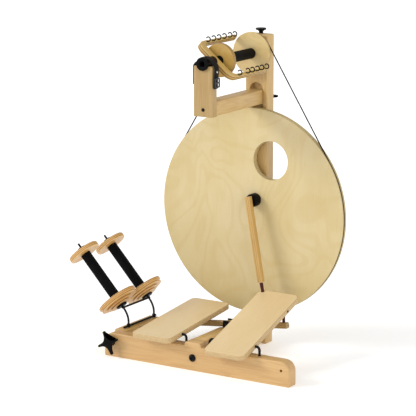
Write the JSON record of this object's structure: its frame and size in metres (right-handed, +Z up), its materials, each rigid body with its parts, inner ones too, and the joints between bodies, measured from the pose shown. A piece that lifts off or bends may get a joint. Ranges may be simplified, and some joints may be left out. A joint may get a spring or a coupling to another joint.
{
  "type": "spinning wheel",
  "caption": "Upright double-treadle spinning wheel: a solid plywood drive wheel on a square post, a flyer and bobbin on an adjustable arm, and a wire rack for spare bobbins",
  "frame": {"origin": "on the floor, in the middle of the post's foot", "axes": "+Z up; +X runs to the spinner's right along the foot board; +Y runs from the spinner's side to the back"},
  "size_m": [0.6397, 0.3812, 0.769],
  "materials": {
    "plywood": "clear-lacquered birch plywood with dark edge plies",
    "beech": "clear-lacquered light hardwood",
    "bobbin_wood": "lacquered fibreboard, warm brown",
    "black_plastic": "black moulded plastic",
    "black_steel": "black powder-coated steel",
    "bright_steel": "bright steel",
    "nylon": "white nylon",
    "flexible_joint": "dark maroon flexible polyurethane",
    "leather": "black leather",
    "belt": "dark grey stretch belt"
  },
  "bodies": {
    "base": {"front_board": "beech", "centre_beam": "beech", "board_bolt": "black_steel", "post_bolt": "black_steel", "post": "beech", "bearing_front": "bright_steel", "bearing_rear": "bright_steel", "kate_bar": "beech", "kate_frame": "black_steel", "kate_washer_front": "black_plastic", "kate_washer_rear": "black_plastic", "hinge_rod_left": "black_steel", "hinge_rod_right": "black_steel", "rocker_bracket": "black_steel", "rocker_pivot": "black_steel", "drive_band": "belt"},
    "wheel": {"drive_wheel": "plywood", "wheel_axle": "bright_steel", "axle_collar": "black_steel", "crank_boss": "black_plastic"},
    "right_treadle": {"treadle_right": "plywood", "link_pin_right": "black_steel", "conrod_joint": "flexible_joint"},
    "left_treadle": {"treadle_left": "plywood", "link_pin_left": "black_steel"},
    "rocker": {"rocker_bar": "beech"},
    "right_link": {"rocker_link_right": "flexible_joint"},
    "left_link": {"rocker_link_left": "flexible_joint"},
    "conrod": {"connecting_rod": "beech", "crank_pin": "bright_steel"},
    "head": {"head_arm": "beech", "front_upright": "beech", "upright_bolt": "black_steel", "tension_slider": "beech", "rear_bush": "nylon", "clamp_plate": "black_steel", "brake_strap": "leather", "strap_screw": "black_steel", "strap_buckle": "black_steel"},
    "head_clamp": {"clamp_knob": "black_plastic", "clamp_screw": "bright_steel"},
    "rack_clamp": {"kate_knob": "black_plastic", "kate_screw": "bright_steel"},
    "tension": {"tension_knob": "black_plastic", "tension_screw": "bright_steel"},
    "flyer": {"orifice_tube": "black_plastic", "flyer_frame": "plywood", "flyer_shaft": "bright_steel"},
    "spun_bobbin": {"bobbin_core": "black_plastic", "bobbin_flange": "bobbin_wood", "bobbin_whorl": "bobbin_wood"},
    "stored_bobbin_front": {"kate_bobbin_front_core": "black_plastic", "kate_bobbin_front_flange": "bobbin_wood", "kate_bobbin_front_whorl": "bobbin_wood"},
    "stored_bobbin_rear": {"kate_bobbin_rear_core": "black_plastic", "kate_bobbin_rear_flange": "bobbin_wood", "kate_bobbin_rear_whorl": "bobbin_wood"}
  },
  "joints": [
    {"name": "wheel_spin", "type": "hinge", "parent": "base", "child": "wheel", "pos_m": [0, -0.0295, 0.333], "axis": [0, 1, 0], "continuous": true},
    {"name": "right_treadle_hinge", "type": "hinge", "parent": "base", "child": "right_treadle", "pos_m": [0.106, -0.2845, 0.0789], "axis": [1, 0, 0], "range_deg": [-14.5, 1.2]},
    {"name": "left_treadle_hinge", "type": "hinge", "parent": "base", "child": "left_treadle", "pos_m": [-0.092, -0.2845, 0.0789], "axis": [1, 0, 0], "range_deg": [-1.2, 14.5]},
    {"name": "rocker_hinge", "type": "hinge", "parent": "base", "child": "rocker", "pos_m": [0, -0.1375, 0.076], "axis": [0, 1, 0], "range_deg": [-1.5, 15.6]},
    {"name": "right_link_hinge", "type": "hinge", "parent": "rocker", "child": "right_link", "pos_m": [0.1498, -0.1375, 0.10083], "axis": [0, 1, 0], "range_deg": [-15.6, 1.5]},
    {"name": "left_link_hinge", "type": "hinge", "parent": "rocker", "child": "left_link", "pos_m": [-0.1358, -0.1375, 0.06829], "axis": [0, 1, 0], "range_deg": [-15.6, 1.5]},
    {"name": "conrod_hinge", "type": "hinge", "parent": "right_treadle", "child": "conrod", "pos_m": [0.0595, -0.0855, 0.1625], "axis": [1, 0, 0], "range_deg": [-1.75, 20.7], "deforming": ["conrod_joint"]},
    {"name": "head_slide", "type": "slide", "parent": "base", "child": "head", "axis": [0, 0, 1], "range_m": [-0.006, 0.0035], "deforming": ["drive_band"]},
    {"name": "tension_turn", "type": "hinge", "parent": "base", "child": "tension", "pos_m": [0, 0.005, 0.756], "axis": [0, 0, 1], "range_deg": [-2166, 1266]},
    {"name": "head_clamp_turn", "type": "hinge", "parent": "head", "child": "head_clamp", "pos_m": [0, 0.0194, 0.6], "axis": [0, 1, 0], "continuous": true},
    {"name": "rack_clamp_turn", "type": "hinge", "parent": "base", "child": "rack_clamp", "pos_m": [-0.227, -0.3014, 0.037], "axis": [0, 1, 0], "continuous": true},
    {"name": "flyer_spin", "type": "hinge", "parent": "head", "child": "flyer", "pos_m": [-0.0015, -0.1, 0.713], "axis": [0, 1, 0], "continuous": true},
    {"name": "bobbin_spin", "type": "hinge", "parent": "head", "child": "spun_bobbin", "pos_m": [-0.0015, -0.1, 0.713], "axis": [0, 1, 0], "continuous": true},
    {"name": "stored_bobbin_front_spin", "type": "hinge", "parent": "base", "child": "stored_bobbin_front", "pos_m": [-0.24261, -0.2375, 0.1111], "axis": [-0.6795, 0, 0.7337], "continuous": true},
    {"name": "stored_bobbin_rear_spin", "type": "hinge", "parent": "base", "child": "stored_bobbin_rear", "pos_m": [-0.24261, -0.1275, 0.1111], "axis": [-0.6795, 0, 0.7337], "continuous": true}
  ],
  "couplings": [
    {"joint": "left_treadle_hinge", "follows": "right_treadle_hinge", "ratio": -1},
    {"joint": "rocker_hinge", "follows": "right_treadle_hinge", "ratio": -1.055},
    {"joint": "right_link_hinge", "follows": "right_treadle_hinge", "ratio": 1.055},
    {"joint": "left_link_hinge", "follows": "right_treadle_hinge", "ratio": 1.055},
    {"joint": "conrod_hinge", "follows": "right_treadle_hinge", "ratio": -1.42},
    {"joint": "tension_turn", "follows": "head_slide", "rad_per_m": 6283.2},
    {"joint": "bobbin_spin", "follows": "wheel_spin", "ratio": 5.1642}
  ]
}
